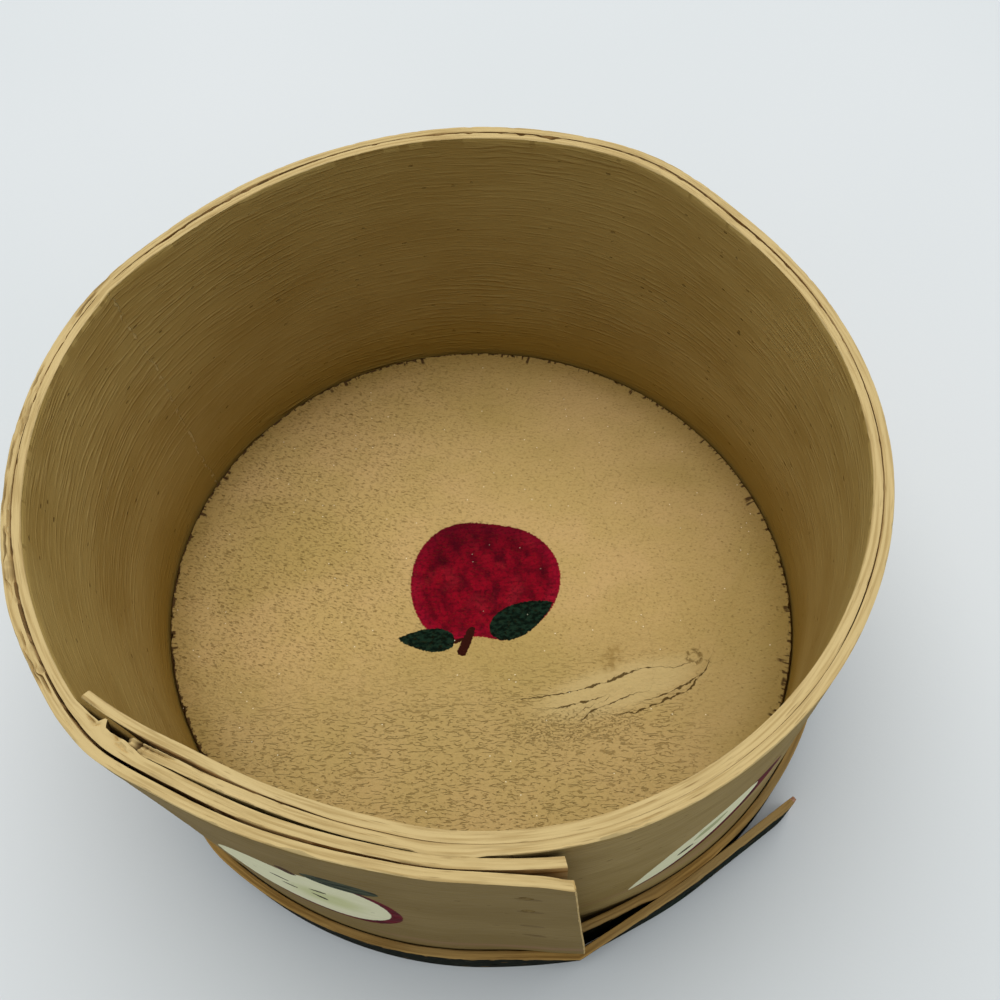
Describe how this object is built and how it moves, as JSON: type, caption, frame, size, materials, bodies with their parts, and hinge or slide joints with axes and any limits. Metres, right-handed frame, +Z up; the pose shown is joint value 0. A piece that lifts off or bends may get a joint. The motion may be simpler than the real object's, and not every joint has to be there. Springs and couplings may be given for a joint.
{
  "type": "bentwood cheese box",
  "caption": "Round open bentwood box: two plies of veneer wound round a wooden board, tacked at the lap, with a nailed hoop round the foot whose end has sprung off.",
  "frame": {"origin": "middle of the bottom board's underside, on the surface that the box stands on", "axes": "+Z up, out of the open mouth; the lap's outer end and the hoop's free end are at the front, -Y"},
  "size_m": [0.2096, 0.2133, 0.104],
  "materials": {
    "board_wood": "thin tan paint over bare wood, crackled, with a painted apple",
    "inner_veneer": "matt olive-tan brushed paint on veneer",
    "outer_veneer": "matt tan brushed paint on veneer, with painted apple halves",
    "hoop_wood": "dark green-black paint, chipped at its upper edge",
    "nail_steel": "dull, painted over",
    "tack_steel": "dull, painted over"
  },
  "bodies": {
    "root": {"bottom_board": "board_wood", "wall_inner_ply": "inner_veneer", "wall_outer_ply": "outer_veneer", "bottom_hoop": "hoop_wood", "hoop_nail_01": "nail_steel", "hoop_nail_02": "nail_steel", "hoop_nail_03": "nail_steel", "hoop_nail_04": "nail_steel", "hoop_nail_05": "nail_steel", "hoop_nail_06": "nail_steel", "hoop_nail_07": "nail_steel", "hoop_nail_08": "nail_steel", "hoop_nail_09": "nail_steel", "hoop_nail_10": "nail_steel", "hoop_nail_11": "nail_steel", "hoop_nail_12": "nail_steel", "hoop_nail_13": "nail_steel", "lap_tack_1": "tack_steel", "lap_tack_2": "tack_steel", "lap_tack_3": "tack_steel", "lap_tack_4": "tack_steel"}
  },
  "joints": []
}
